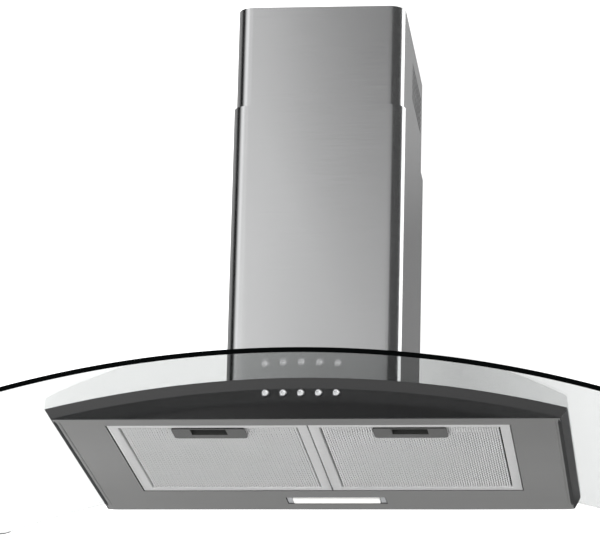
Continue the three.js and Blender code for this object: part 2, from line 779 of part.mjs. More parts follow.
// ---------------------------------------------------------------- outlet collar and flaps
function outletCollar() {
  const low = collarBase;
  const high = low + collarHeight;
  const lipTop = flapZ - flapThickness / 2 - gap;
  const outer = outletRadius + collarWall;
  const tube = rod("z", outer, 0, chimneyY, low, high, 64);
  const flange = rod("z", outer + collarFlange, 0, chimneyY, low, low + collarFlangeThickness, 64);
  const bore = rod("z", outletRadius, 0, chimneyY, lipTop, high + 1, 64);
  const throat = rod("z", outletRadius - collarLip, 0, chimneyY, low - 1, lipTop + 1, 64);
  const belly = rod("z", outletRadius, 0, chimneyY, low - 1, lipTop - collarLipThickness, 64);
  const pinSeat = rod("x", flapPinRadius + gap, chimneyY, flapZ, -outletRadius, outletRadius, 20);
  return tube.add(flange).subtract(bore).subtract(throat).subtract(belly).subtract(pinSeat);
}

function flapPin() {
  const half = outletRadius - gap;
  return rod("x", flapPinRadius, chimneyY, flapZ, -half, half, 20);
}

// side is -1 for the front flap and 1 for the rear one.
function damperFlap(side) {
  const radius = outletRadius - flapEdgeGap;
  const start = flapKnuckleRadius + gap;
  const disc = rod("z", radius, 0, chimneyY, flapZ - flapThickness / 2, flapZ + flapThickness / 2, 64);
  const near = (a, b) => [chimneyY + Math.min(side * a, side * b), chimneyY + Math.max(side * a, side * b)];
  let flap = disc.intersect(box(-radius, radius, ...near(start, radius), flapZ - 2, flapZ + 2));
  const width = flapKnuckleWidth;
  const first = side > 0 ? -flapKnuckleInset : width + flapKnuckleGap - flapKnuckleInset;
  for (const x of [first, -first - width]) {
    const knuckle = rod("x", flapKnuckleRadius, chimneyY, flapZ, x, x + width, 20);
    const half = flapThickness / 2;
    const web = box(x, x + width, ...near(flapPinRadius, start + 1), flapZ - half, flapZ + half);
    flap = flap.add(knuckle).add(web);
  }
  return flap.subtract(rod("x", flapPinRadius + gap, chimneyY, flapZ, -radius, radius, 20));
}

// ---------------------------------------------------------------- electronics
function junctionBox() {
  const y0 = chimneyY + blowerDepth / 2 + gap;
  const half = junctionWidth / 2;
  const top = junctionBottom + junctionHeight;
  const body = box(-half, half, y0, y0 + junctionDepth, junctionBottom, top);
  const wall = junctionWall;
  const room = box(
    -half + wall, half - wall, y0 + wall, y0 + junctionDepth + 1, junctionBottom + wall, top - wall,
  );
  return body.subtract(room);
}

function junctionLid() {
  const y0 = chimneyY + blowerDepth / 2 + 2 * gap + junctionDepth;
  const half = junctionWidth / 2;
  return box(-half, half, y0, y0 + junctionWall, junctionBottom, junctionBottom + junctionHeight);
}

function cableGland() {
  const y = chimneyY + blowerDepth / 2 + gap + junctionDepth / 2;
  const low = junctionBottom + junctionHeight + gap;
  const nut = rod("z", glandRadius, 0, y, low, low + glandNutHeight, 6);
  const domeRadius = glandRadius - glandDomeInset;
  const dome = rod("z", domeRadius, 0, y, low + glandNutHeight - bite, low + glandHeight, 24);
  return nut.add(dome).subtract(rod("z", glandBoreRadius, 0, y, low - 1, low + glandHeight + 1, 16));
}

// ---------------------------------------------------------------- filters
const filterCentre = (side) => side * (filterWidth + filterGap) / 2;
const latchBottom = filterBottom + latchRise;
const latchFront = filterFrontMargin + latchInset;
const pocketFront = filterFrontMargin + handleFrontMargin + pocketInset;

function filterFrame(side) {
  const x = filterCentre(side);
  const half = filterWidth / 2;
  const top = filterBottom + filterThickness;
  const outer = box(x - half, x + half, filterFrontMargin, filterRear, filterBottom, top);
  const b = filterBorder;
  const window = box(
    x - half + b, x + half - b, filterFrontMargin + b, filterRear - b, filterBottom - 1, top + 1,
  );
  const slot = latchWidth / 2 + gap;
  const notchRear = filterFrontMargin + b + 1;
  const notch = box(x - slot, x + slot, latchFront - gap, notchRear, latchBottom - gap, top + 1);
  const tongue = latchTongue / 2 + gap;
  const mouth = box(
    x - tongue, x + tongue, filterFrontMargin - 1, latchFront,
    latchBottom - gap, latchBottom + latchHeight / 2,
  );
  return outer.subtract(window).subtract(notch).subtract(mouth);
}

// Crimped sheet, in whole pleats along the depth.
function filterMesh(side) {
  const x = filterCentre(side);
  const inset = filterBorder + gap;
  const half = filterWidth / 2 - inset;
  const low = filterBottom + meshRecess;
  const front = filterFrontMargin + inset;
  const length = filterRear - inset - front;
  const folds = 2 * Math.round(length / meshPleat);
  const rise = meshThickness - meshSheet;
  const fold = (i) => [front + (length * i) / folds, low + rise * (i % 2)];
  const crimp = Array.from({ length: folds + 1 }, (_, i) => fold(i));
  const shape = new THREE.Shape();
  shape.moveTo(...crimp[0]);
  crimp.slice(1).forEach(([y, z]) => shape.lineTo(y, z));
  crimp.reverse().forEach(([y, z]) => shape.lineTo(y, z + meshSheet));
  const pad = solidOf(prismAlongX(shape, x - half, x + half));
  const clear = pocketWidth / 2 + pocketWall + gap;
  const rear = pocketFront + pocketDepth + 2 * pocketWall + gap;
  return pad.subtract(box(x - clear, x + clear, filterFrontMargin, rear, low - 1, low + meshThickness + 1));
}

// Flush handle with a finger pocket that reaches up through the mesh.
function filterHandle(side) {
  const x = filterCentre(side);
  const front = filterFrontMargin + handleFrontMargin;
  const low = -handleDrop;
  const high = low + handlePlate;
  const corner = handleCornerRadius;
  const plan = roundedPlan(handleWidth / 2, front, front + handleDepth, corner, corner);
  const plate = solidOf(prismAlongZ(plan, low, high, 4)).translate([x, 0, 0]);
  const half = pocketWidth / 2;
  const rear = pocketFront + pocketDepth + 2 * pocketWall;
  const top = filterBottom + filterThickness - gap;
  const cup = box(x - half - pocketWall, x + half + pocketWall, pocketFront, rear, low, top);
  const roomRear = rear - pocketWall;
  const hollow = box(x - half, x + half, pocketFront + pocketWall, roomRear, low - 1, top - pocketWall);
  const tab = latchTab / 2 + gap;
  const slit = box(
    x - tab, x + tab, pocketFront - 1, pocketFront + 2 * pocketWall,
    latchBottom + latchFaceStep, latchBottom + latchHeight - latchFaceStep,
  );
  return plate.add(cup).subtract(hollow).subtract(slit);
}

function filterLatch(side) {
  const x = filterCentre(side);
  const low = latchBottom;
  const body = box(
    x - latchWidth / 2, x + latchWidth / 2, latchFront, latchFront + latchDepth, low, low + latchHeight,
  );
  const nose = box(
    x - latchTongue / 2, x + latchTongue / 2, filterFrontMargin - filterBayGap + gap, latchFront + 1,
    low, low + latchHeight / 2 - gap,
  );
  const reach = pocketFront + pocketWall + latchTravel;
  const tab = box(
    x - latchTab / 2, x + latchTab / 2, latchFront + bite, reach,
    low + latchFaceStep + gap, low + latchHeight - latchFaceStep - gap,
  );
  return body.add(nose).add(tab);
}

// ---------------------------------------------------------------- lamp
function lampHousing() {
  const half = lampOpeningWidth / 2 + lampHousingMargin;
  const y0 = lampRear - lampOpeningDepth - lampHousingMargin;
  const y1 = lampRear + lampHousingMargin;
  const wall = lampHousingWall;
  const low = sheet + gap;
  const can = box(-half, half, y0, y1, low, low + lampHousingHeight);
  const roof = low + lampHousingHeight - wall;
  const room = box(-half + wall, half - wall, y0 + wall, y1 - wall, low - bite, roof);
  return can.subtract(room);
}

function lampLens() {
  const halfX = lampLensWidth / 2;
  const halfY = lampLensDepth / 2;
  const low = -lampLensDrop;
  const plan = roundedPlan(halfX, lampY - halfY, lampY + halfY, lampCornerRadius, lampCornerRadius);
  return solidOf(prismAlongZ(plan, low, low + lampLensThickness, 4));
}

// Spring clip beside the lens at each end of the lamp opening.
function lampClip(side) {
  const inner = lampLensWidth / 2 + lampClipGap;
  const outer = lampOpeningWidth / 2 - lampClipGap;
  const x0 = Math.min(side * inner, side * outer);
  const x1 = Math.max(side * inner, side * outer);
  const y0 = lampRear - lampOpeningDepth + lampClipInset;
  const y1 = lampRear - lampClipInset;
  return box(x0, x1, y0, y1, sheet, sheet + lampClipHeight);
}

function lampBulb() {
  const z = lampHousingHeight / 2 + bulbRise;
  const half = bulbLength / 2;
  const glass = rod("x", bulbRadius, lampY, z, -half, half, 24);
  const base = rod("x", bulbBaseRadius, lampY, z, half - bite, half + bulbBaseLength, 24);
  return glass.add(base);
}

function lampSocket() {
  const z = lampHousingHeight / 2 + bulbRise;
  const x0 = bulbLength / 2 + socketGap;
  const halfY = socketWidth / 2;
  const halfZ = socketHeight / 2;
  const body = box(x0, x0 + socketLength, lampY - halfY, lampY + halfY, z - halfZ, z + halfZ);
  const boreEnd = bulbLength / 2 + bulbBaseLength + gap;
  return body.subtract(rod("x", bulbBaseRadius + gap, lampY, z, x0 - bite, boreEnd, 24));
}

// ---------------------------------------------------------------- push buttons
function buttonPlaces() {
  const middle = (buttonCount - 1) / 2;
  return Array.from({ length: buttonCount }, (_, i) => buttonRowOffset + (i - middle) * buttonPitch);
}

const buttonFlangeY = fasciaThickness + gap;
const buttonRear = buttonFlangeY + buttonStemLength;
const switchFront = buttonRear + buttonTravel + gap;

function pushButton(x) {
  const profile = [
    [0, -buttonProud],
    [buttonRadius * 0.55, -buttonProud + 0.1],
    [buttonRadius * 0.85, -buttonProud + 0.45],
    [buttonRadius, -buttonProud + 1.1],
    [buttonRadius, buttonFlangeY],
    [buttonRadius + buttonFlange, buttonFlangeY],
    [buttonRadius + buttonFlange, buttonFlangeY + buttonFlangeThickness],
    [buttonStemRadius, buttonFlangeY + buttonFlangeThickness],
    [buttonStemRadius, buttonRear],
    [0, buttonRear],
  ].map(([radius, y]) => new THREE.Vector2(radius, y));
  const geometry = new THREE.LatheGeometry(profile, 24);
  geometry.translate(x, 0, buttonHeight);
  return solidOf(geometry);
}

function switchBlock() {
  const half = (buttonCount - 1) * buttonPitch / 2 + switchBlockMargin;
  const low = buttonHeight - switchBlockHeight / 2 - switchBlockDrop;
  return box(
    buttonRowOffset - half, buttonRowOffset + half, switchFront, switchFront + switchBlockDepth,
    low, low + switchBlockHeight,
  );
}

function switchBoard() {
  const half = (buttonCount - 1) * buttonPitch / 2 + switchBlockMargin;
  const low = buttonHeight - switchBlockHeight / 2 - switchBlockDrop;
  const y0 = switchFront + switchBlockDepth + gap;
  return box(
    buttonRowOffset - half, buttonRowOffset + half, y0, y0 + switchBoardThickness,
    low, low + switchBlockHeight,
  );
}

// ---------------------------------------------------------------- assembly
const sides = [["left", -1], ["right", 1]];

add("ceiling_plate", ceilingPlate(), zincSteel());
add("upper_cover", ventSlots(coverFront(upperWidth, upperDepth, upperBottom, ceilingHeight)), brushedSteel());
add("upper_cover_back", coverBack(upperWidth, upperDepth, upperBottom, ceilingHeight), brushedSteel());
add("lower_cover", onGlass(coverFront(chimneyWidth, chimneyDepth, 0, lowerCoverTop)), brushedSteel());
add("lower_cover_back", onGlass(coverBack(chimneyWidth, chimneyDepth, 0, lowerCoverTop)), brushedSteel());
for (const [name, side] of sides) {
  add(`upper_frame_${name}`, upperFrame(side), zincSteel());
  add(`lower_frame_${name}`, lowerFrame(side), zincSteel());
  const [frontY, rearY] = frameBoltPlaces();
  add(`frame_bolt_${name}_front`, frameBolt(side, frontY), zincSteel());
  add(`frame_bolt_${name}_rear`, frameBolt(side, rearY), zincSteel());
}

add("body_shell", bodyShell(), darkGloss());
add("bottom_panel", bottomPanel(), panelSteel());
add("filter_centre_rail", centreRail(), zincSteel());
add("fascia", fascia(), darkGloss());
add("glass_canopy", glassCanopy(), clearGlass());
add("glass_clamp_front", glassClamp(-1), zincSteel());
add("glass_clamp_rear", glassClamp(1), zincSteel());
const screwNames = ["front_left", "front_right", "rear_left", "rear_right"];
clampScrewPlaces().forEach(([x, y], i) => {
  add(`clamp_screw_${screwNames[i]}`, clampScrew(x, y), zincSteel());
});

add("blower_box", blowerBox(), zincSteel());
add("fan_scroll", fanScroll(), zincSteel());
add("impeller", impeller(), blackPlastic());
add("motor", motor(), zincSteel());
add("motor_bracket", motorBracket(), zincSteel());
add("capacitor", capacitor(), whitePlastic());
add("outlet_collar", outletCollar(), blackPlastic());
add("damper_pin", flapPin(), zincSteel());
add("damper_flap_front", damperFlap(-1), greyPlastic());
add("damper_flap_rear", damperFlap(1), greyPlastic());
add("junction_box", junctionBox(), blackPlastic());
add("junction_box_lid", junctionLid(), blackPlastic());
add("cable_gland", cableGland(), blackPlastic());

for (const [name, side] of sides) {
  add(`filter_${name}_frame`, filterFrame(side), aluminium());
  add(`filter_${name}_mesh`, filterMesh(side), aluminium());
  add(`filter_${name}_handle`, filterHandle(side), greyPlastic());
  add(`filter_${name}_latch`, filterLatch(side), blackPlastic());
}

add("lamp_housing", lampHousing(), zincSteel());
add("lamp_lens", lampLens(), whitePlastic());
for (const [name, side] of sides) {
  add(`lamp_clip_${name}`, lampClip(side), zincSteel());
}
add("lamp_bulb", lampBulb(), whitePlastic());
add("lamp_socket", lampSocket(), blackPlastic());

buttonPlaces().forEach((x, i) => add(`button_${i + 1}`, pushButton(x), chrome()));
add("switch_block", switchBlock(), blackPlastic());
add("switch_board", switchBoard(), finish(0x1f5a36, 0.6, 0));

const part = new THREE.Group();
hood.position.set(0, -chimneyY, -ceilingHeight);
part.add(hood);

export default part;
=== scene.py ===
"""Looks of the island range hood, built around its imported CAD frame. Metres, +Z up, +Y to the back."""

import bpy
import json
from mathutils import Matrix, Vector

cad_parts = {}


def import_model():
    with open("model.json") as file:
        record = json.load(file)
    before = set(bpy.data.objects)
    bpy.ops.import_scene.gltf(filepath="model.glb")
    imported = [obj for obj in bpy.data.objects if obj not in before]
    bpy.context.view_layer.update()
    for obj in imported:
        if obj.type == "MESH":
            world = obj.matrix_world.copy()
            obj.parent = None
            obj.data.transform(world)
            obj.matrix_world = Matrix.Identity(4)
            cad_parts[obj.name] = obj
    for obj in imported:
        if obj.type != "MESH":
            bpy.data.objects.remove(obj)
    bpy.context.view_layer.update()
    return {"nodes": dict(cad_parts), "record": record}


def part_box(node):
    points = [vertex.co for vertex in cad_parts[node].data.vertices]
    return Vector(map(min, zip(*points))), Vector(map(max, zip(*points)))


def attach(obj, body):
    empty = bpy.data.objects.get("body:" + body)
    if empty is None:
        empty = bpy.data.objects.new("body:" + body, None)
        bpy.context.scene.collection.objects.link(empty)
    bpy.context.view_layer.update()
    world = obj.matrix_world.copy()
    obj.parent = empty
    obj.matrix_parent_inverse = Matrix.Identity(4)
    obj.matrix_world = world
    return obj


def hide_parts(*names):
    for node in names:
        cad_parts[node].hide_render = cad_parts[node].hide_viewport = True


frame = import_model()

import json
import math

import bmesh
import bpy
from mathutils import Matrix, Vector

NODES = frame["nodes"]
RECORD = frame["record"]
SLOT_OF = {s["node"]: s["material_slot"] for s in RECORD["subparts"]}
BODY_OF = {n: b for b, members in RECORD["behaviour"]["bodies"].items() for n in members}

# ------------------------------------------------------------------ camera
CAMERA_PLACE = Vector((0.4820, -4.6006, -1.7150))
CAMERA_YAW = math.radians(-6.408)
CAMERA_PITCH = math.radians(17.010)
CAMERA_ROLL = math.radians(1.457)
SENSOR_WIDTH = 36
CAMERA_LENS = 231.408

# ------------------------------------------------------------------ studio
CURVE_PEAK = 4.0  # radiance at the top of every glow curve
FLOOR_Z = -2.15
FLOOR_HALF = 14.0
# Radiance of the studio by azimuth in degrees: 0 is in front of the fascia and 90 on its right.
STUDIO = [
    (-180, 0.50), (-125, 0.40), (-104, 0.24), (-95, 0.0), (-76, 0.0), (-66, 0.55), (-56, 1.20), (-44, 1.30),
    (-28, 0.75), (-6, 0.45), (12, 0.34), (30, 0.30), (38, 0.07), (102, 0.07), (110, 2.7), (144, 2.5),
    (152, 0.26), (180, 0.34),
]
# Radiance of the white backdrop behind the hood, by the X of the direction looked in.
BACKDROP_SPAN = (-0.30, 0.10)
BACKDROP = [
    (-0.30, 2.1), (-0.19, 2.0), (-0.165, 1.72), (-0.12, 1.68), (-0.08, 1.20), (-0.066, 1.02), (-0.052, 1.20),
    (-0.038, 1.38), (-0.02, 1.62), (0.10, 1.7),
]
LOW_GLOW = [(-1.0, 3.0), (-0.4, 2.9), (-0.1, 2.1), (0.1, 2.0), (0.4, 2.2), (1.0, 2.4)]
# Soft cards seen only in reflections: X range, Y, Z range, Z range of the fade, then the glow along X at the
# foot and at the top of the fade.
CARDS = {
    "front_card": (
        (-1.1, 1.1), -1.5, (-0.45, 0.95), (0.0, 0.55),
        [(-1.1, 1.15), (-0.40, 1.18), (-0.284, 1.10), (-0.146, 0.78), (-0.02, 0.70), (0.03, 0.64),
         (0.50, 0.52), (0.70, 0.07), (1.1, 0.06)],
        [(-1.1, 0.76), (-0.40, 0.70), (-0.284, 0.59), (-0.146, 0.34), (-0.02, 0.19), (0.03, 0.17),
         (0.62, 0.15), (0.80, 0.08), (1.1, 0.06)],
    ),
    "low_card": (
        (-1.0, 1.0), -1.5, (-0.84, -0.69), (-0.84, -0.69),
        LOW_GLOW,
        LOW_GLOW,
    ),
    "side_card": (
        (0.12, 0.9), 1.5, (-0.35, 0.85), (0.22, 0.38),
        [(0.12, 0.24), (0.9, 0.24)],
        [(0.12, 0.40), (0.9, 0.40)],
    ),
}

# Softboxes: place, target, width, height and power in watts.
SOFTBOXES = {
    "below": ((-1.3, -0.9, -1.7), (0, 0, -0.55), 1.2, 1.0, 7),
    "rear_floor": ((-2.2, 4.9, -1.0), (-2.2, 4.9, -2.15), 1.0, 1.0, 30),
    "above": ((0, 0.2, 1.9), (0, 0, -0.3), 2.0, 2.0, 30),
}

# ------------------------------------------------------------------ filters
STRAND_PITCH = 0.0030
CELL_LENGTH = 0.0050  # from one bond to the next along a strand
BOND_TAPER = 0.0007
BOND_OVERLAP = 0.00005
STRAND_WIDTH = 0.0014
STRAND_THICKNESS = 0.0004
STRAND_RISE = 0.0007
CRIMP_PITCH = 0.0100
PAD_INSET = 0.0010  # dark line between the pad and its frame
CUP_TOP = 0.0005  # below the handle's top, only the finger cup is this high
CUP_MARGIN = 0.0006

# ------------------------------------------------------------------ bottom panel
RIM_INSET = 0.0062  # bead's middle from the panel's side
RIM_WIDTH = 0.0026
RIM_DROP = 0.0007
TRIM_INSET = 0.0013
TRIM_WIDTH = 0.0036
TRIM_DROP = 0.0005
BEAD_STEPS = 24
BEAD_ARC = 10
BEAD_TIP = 0.1  # share of the full section left at the ends
BEAD_FRONT_MARGIN = 0.001
BEAD_REAR_MARGIN = 0.016
BEAD_BITE = 0.0002  # into the panel

# ------------------------------------------------------------------ fascia
FASCIA_THICKNESS = 0.0012
# Black strip along the fascia's lower edge: painted shade where the gap between the fascia and the bottom
# panel lies in shadow.
SHADE_STRIP_OVERLAP = 0.0010
# Round-nosed section: Y from the fascia's front, then height above its lower edge.
SHADE_STRIP_SECTION = [
    (0.0006, 0.0), (0.0001, 0.0), (-0.0002, 0.0002), (-0.0003, 0.0005), (-0.0002, 0.0008), (0.0001, 0.0010),
    (0.0006, 0.0010),
]

# ------------------------------------------------------------------ buttons
BUTTON_COUNT = 5
FLANGE_WIDTH = 0.0013
FLANGE_FRONT = 0.0040  # from the button's rear
FLANGE_REAR = 0.0030
STEM_SHARE = 0.6  # of the cap's radius
# Dished face in a raised ring: share of the cap's radius, then depth behind the foremost point.
CAP_FACE = [
    (0, 0.00045), (0.35, 0.00040), (0.60, 0.00028), (0.70, 0.00004), (0.82, 0), (0.93, 0.00022),
    (0.99, 0.00065), (1, 0.0012),
]
BEZEL_CLEARANCE = 0.00045
BEZEL_REACH = 0.0016

# ------------------------------------------------------------------ edges
SMOOTH_ANGLE = math.radians(32)
SHARP_ANGLE = math.radians(50)
CAP_ANGLE = math.radians(40)
CREASE_ANGLES = {"fascia": math.radians(8), "body_shell": math.radians(18)}


# ------------------------------------------------------------------ node helpers
class Nodes:
    """Short calls for building one material's node tree."""

    def __init__(self, name):
        self.material = bpy.data.materials.new(name)
        self.material.use_nodes = True
        self.tree = self.material.node_tree
        self.shader = self.tree.nodes["Principled BSDF"]

    def new(self, kind, **values):
        node = self.tree.nodes.new(kind)
        for key, value in values.items():
            setattr(node, key, value)
        return node

    def link(self, a, b):
        self.tree.links.new(a, b)

    def set(self, **values):
        for key, value in values.items():
            self.shader.inputs[key.replace("_", " ")].default_value = value
        return self

    def place(self, scale=(1, 1, 1)):
        """Row-frame position, stretched."""
        coordinate = self.new("ShaderNodeTexCoord")
        mapping = self.new("ShaderNodeMapping")
        mapping.inputs["Scale"].default_value = scale
        self.link(coordinate.outputs["Object"], mapping.inputs["Vector"])
        return mapping.outputs["Vector"]

    def noise(self, scale, detail=3.0, rough=0.55):
        node = self.new("ShaderNodeTexNoise")
        node.inputs["Scale"].default_value = 1.0
        node.inputs["Detail"].default_value = detail
        node.inputs["Roughness"].default_value = rough
        self.link(self.place(scale), node.inputs["Vector"])
        return node.outputs["Fac"]

    def ranged(self, value, low, high, start=0.3, end=0.7):
        node = self.new("ShaderNodeMapRange")
        for key, number in (("From Min", start), ("From Max", end), ("To Min", low), ("To Max", high)):
            node.inputs[key].default_value = number
        self.link(value, node.inputs["Value"])
        return node.outputs["Result"]

    def math(self, operation, a, b):
        node = self.new("ShaderNodeMath", operation=operation)
        for socket, value in zip(node.inputs, (a, b)):
            if isinstance(value, (int, float)):
                socket.default_value = value
            else:
                self.link(value, socket)
        return node.outputs[0]

    def mixed(self, factor, a, b):
        node = self.new("ShaderNodeMix", data_type="RGBA")
        colour_a, colour_b = (socket for socket in node.inputs if socket.type == "RGBA")
        colour_a.default_value = (*a, 1)
        colour_b.default_value = (*b, 1)
        self.link(factor, node.inputs["Factor"])
        return next(socket for socket in node.outputs if socket.type == "RGBA")

    def bump(self, height, strength, distance):
        node = self.new("ShaderNodeBump")
        node.inputs["Strength"].default_value = strength
        node.inputs["Distance"].default_value = distance
        self.link(height, node.inputs["Height"])
        self.link(node.outputs["Normal"], self.shader.inputs["Normal"])

    def to(self, socket, value):
        self.link(value, self.shader.inputs[socket])


def grey(value, tint=(1.0, 1.0, 1.0)):
    return tuple(value * t for t in tint)


# ------------------------------------------------------------------ materials
def brushed(name, value, rough, grain, cloud=9.0, aniso=0.75, tint=(1.0, 1.0, 1.0)):
    """Brushed steel. grain is the stretch of the grain noise: large across the brush strokes."""
    n = Nodes(name).set(Metallic=1.0, Anisotropic=aniso, Anisotropic_Rotation=0.25)
    streak = n.noise(grain, 2.0)
    broad = n.noise((cloud, cloud, cloud), 2.0)
    n.to("Base Color", n.mixed(n.ranged(streak, 0, 1), grey(value * 0.98, tint), grey(value * 1.02, tint)))
    fine = n.ranged(streak, rough - 0.02, rough + 0.02)
    n.to("Roughness", n.math("ADD", fine, n.ranged(broad, -0.01, 0.01)))
    tangent = n.new("ShaderNodeTangent", direction_type="RADIAL", axis="Z")
    n.link(tangent.outputs["Tangent"], n.shader.inputs["Tangent"])
    n.bump(streak, 0.02, 0.00005)
    return n.material


def zinc():
    n = Nodes("zinc_steel").set(Metallic=1.0)
    spangle = n.new("ShaderNodeTexVoronoi")
    spangle.inputs["Scale"].default_value = 1.0
    n.link(n.place((160, 160, 160)), spangle.inputs["Vector"])
    n.to("Base Color", n.mixed(spangle.outputs["Distance"], (0.50, 0.51, 0.52), (0.66, 0.67, 0.69)))
    n.to("Roughness", n.ranged(n.noise((300, 300, 300)), 0.38, 0.52))
    n.bump(spangle.outputs["Distance"], 0.04, 0.0001)
    return n.material


def enamel(name, low, high, rough, ior, peel):
    """Charcoal enamel with a fine flake and a faint orange peel."""
    n = Nodes(name).set(Roughness=rough, IOR=ior)
    flake = n.noise((900, 900, 900), 1.0)
    n.to("Base Color", n.mixed(n.ranged(flake, 0, 1), low, high))
    n.bump(n.noise((260, 260, 260), 2.0), peel, 0.0001)
    return n.material


def clear_glass():
    """Clear toughened glass whose polished front edge reads dark; that dark is painted shade: the edge faces
    get a near-black colour, a black specular tint and no transmission.
    """
    n = Nodes("clear_glass").set(Roughness=0.0, IOR=1.5)
    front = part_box("glass_canopy")[0].y
    split = n.new("ShaderNodeSeparateXYZ")
    n.link(n.place(), split.inputs[0])
    # Painted shade: mask of the front edge faces, painted near black in place of the dark look of the
    # polished glass edge.
    edge = n.ranged(split.outputs["Y"], 1.0, 0.0, front + 0.0002, front + 0.0006)
    n.to("Base Color", n.mixed(edge, (0.74, 0.755, 0.75), (0.004, 0.005, 0.005)))
    n.to("Specular Tint", n.mixed(edge, (1, 1, 1), (0, 0, 0)))
    n.to("Transmission Weight", n.math("SUBTRACT", 1.0, edge))
    return n.material


def aluminium(name, value, metallic):
    n = Nodes(name).set(Metallic=metallic)
    streak = n.noise((40, 900, 900), 2.0)
    n.to("Base Color", n.mixed(n.ranged(streak, 0, 1), grey(value * 0.95), grey(value * 1.04)))
    n.to("Roughness", n.ranged(streak, 0.36, 0.50))
    n.bump(streak, 0.05, 0.0001)
    return n.material


def moulded(name, low, high, rough, grain=900):
    """Moulded plastic with a fine spark-eroded grain."""
    n = Nodes(name)
    texture = n.noise((grain, grain, grain), 3.0)
    n.to("Base Color", n.mixed(n.ranged(texture, 0, 1), low, high))
    n.to("Roughness", n.ranged(texture, rough - 0.06, rough + 0.06))
    n.bump(texture, 0.12, 0.0001)
    return n.material


def lit_lens():
    """Frosted diffuser with the lamp on behind it."""
    n = Nodes("lens_white").set(Roughness=0.45, Emission_Strength=0.40)
    frost = n.noise((700, 700, 700), 2.0)
    n.to("Base Color", n.mixed(n.ranged(frost, 0, 1), (0.90, 0.90, 0.87), (0.96, 0.96, 0.94)))
    n.to("Emission Color", n.mixed(n.ranged(frost, 0, 1), (0.95, 0.95, 0.93), (1.0, 1.0, 0.985)))
    n.bump(frost, 0.1, 0.0001)
    return n.material


def chrome():
    n = Nodes("button_chrome").set(Metallic=1.0)
    haze = n.noise((1500, 1500, 1500), 2.0)
    n.to("Base Color", n.mixed(n.ranged(haze, 0, 1), (0.60, 0.60, 0.61), (0.68, 0.68, 0.69)))
    n.to("Roughness", n.ranged(haze, 0.12, 0.2))
    return n.material


def frosted_bulb():
    n = Nodes("bulb_glass").set(Transmission_Weight=0.5)
    frost = n.noise((500, 500, 500), 2.0)
    n.to("Base Color", n.mixed(n.ranged(frost, 0, 1), (0.93, 0.93, 0.90), (0.98, 0.98, 0.95)))
    n.to("Roughness", n.ranged(frost, 0.4, 0.55))
    return n.material


MATERIALS = {
    "brushed_steel": brushed(
        "brushed_steel", 0.62, 0.24, (22, 22, 2600), aniso=0.88, tint=(0.995, 1.0, 1.005)
    ),
    "panel_steel": brushed("panel_steel", 0.235, 0.36, (14, 2200, 2200), tint=(1.0, 1.0, 0.985), aniso=0.4),
    "zinc_steel": zinc(),
    "fascia_black": enamel(
        "fascia_black", (0.004, 0.0042, 0.0045), (0.007, 0.0073, 0.0077), 0.12, 1.42, 0.012
    ),
    "clear_glass": clear_glass(),
    "filter_aluminium": aluminium("filter_aluminium", 0.78, 0.8),
    "grey_plastic": moulded("grey_plastic", (0.050, 0.052, 0.049), (0.068, 0.070, 0.066), 0.42),
    "black_plastic": moulded("black_plastic", (0.010, 0.010, 0.011), (0.017, 0.017, 0.018), 0.45),
    "white_plastic": moulded("white_plastic", (0.80, 0.80, 0.78), (0.86, 0.86, 0.84), 0.38),
    "lens_white": lit_lens(),
    "bulb_glass": frosted_bulb(),
    "button_chrome": chrome(),
    "board_green": moulded("board_green", (0.012, 0.085, 0.032), (0.020, 0.110, 0.045), 0.40, 400),
}


# ------------------------------------------------------------------ CAD nodes that stay
MESH_ALUMINIUM = aluminium("mesh_aluminium", 0.95, 0.35)
BODY_ENAMEL = enamel("body_enamel", (0.012, 0.0125, 0.013), (0.020, 0.021, 0.022), 0.38, 1.12, 0.05)
FINISHES = {
    "body_shell": BODY_ENAMEL,
    "side_trim_left": BODY_ENAMEL,
    "side_trim_right": BODY_ENAMEL,
    "filter_left_expanded_mesh": MESH_ALUMINIUM,
    "filter_right_expanded_mesh": MESH_ALUMINIUM,
}

BEVELS = {
    "junction_box": 0.0006, "junction_box_lid": 0.0006,
    "filter_left_frame": 0.0006, "filter_right_frame": 0.0006, "lamp_lens": 0.0005,
    "switch_block": 0.0006, "lamp_socket": 0.0006,
}


def finish_cad(name, obj):
    obj.data.materials.clear()
    obj.data.materials.append(FINISHES.get(name, MATERIALS[SLOT_OF[name]]))
    if "custom_normal" in obj.data.attributes:
        obj.data.attributes.remove(obj.data.attributes["custom_normal"])
    obj.data.polygons.foreach_set("use_smooth", [True] * len(obj.data.polygons))
    weld = obj.modifiers.new("weld", "WELD")
    weld.merge_threshold = 1e-6
    if name in BEVELS:
        bevel = obj.modifiers.new("bevel", "BEVEL")
        bevel.width = BEVELS[name]
        bevel.segments = 2
        bevel.limit_method = "ANGLE"
        bevel.angle_limit = SMOOTH_ANGLE
    split = obj.modifiers.new("split", "EDGE_SPLIT")
    split.split_angle = CREASE_ANGLES.get(name, SHARP_ANGLE if name in BEVELS else SMOOTH_ANGLE)


for node_name, node_object in NODES.items():
    finish_cad(node_name, node_object)


# ------------------------------------------------------------------ new pieces
def piece(name, mesh, body, slot, replaces=()):
    obj = bpy.data.objects.new(name, mesh)
    bpy.context.scene.collection.objects.link(obj)
    mesh.materials.append(FINISHES.get(name, MATERIALS[slot]))
    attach(obj, body)
    if replaces:
        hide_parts(*replaces)
    return obj


def closed_mesh(bm, name, smooth):
    """Mesh from a closed bmesh, with its faces turned out."""
    bmesh.ops.recalc_face_normals(bm, faces=bm.faces)
    for face in bm.faces:
        face.smooth = smooth
    mesh = bpy.data.meshes.new(name)
    bm.to_mesh(mesh)
    bm.free()
    return mesh


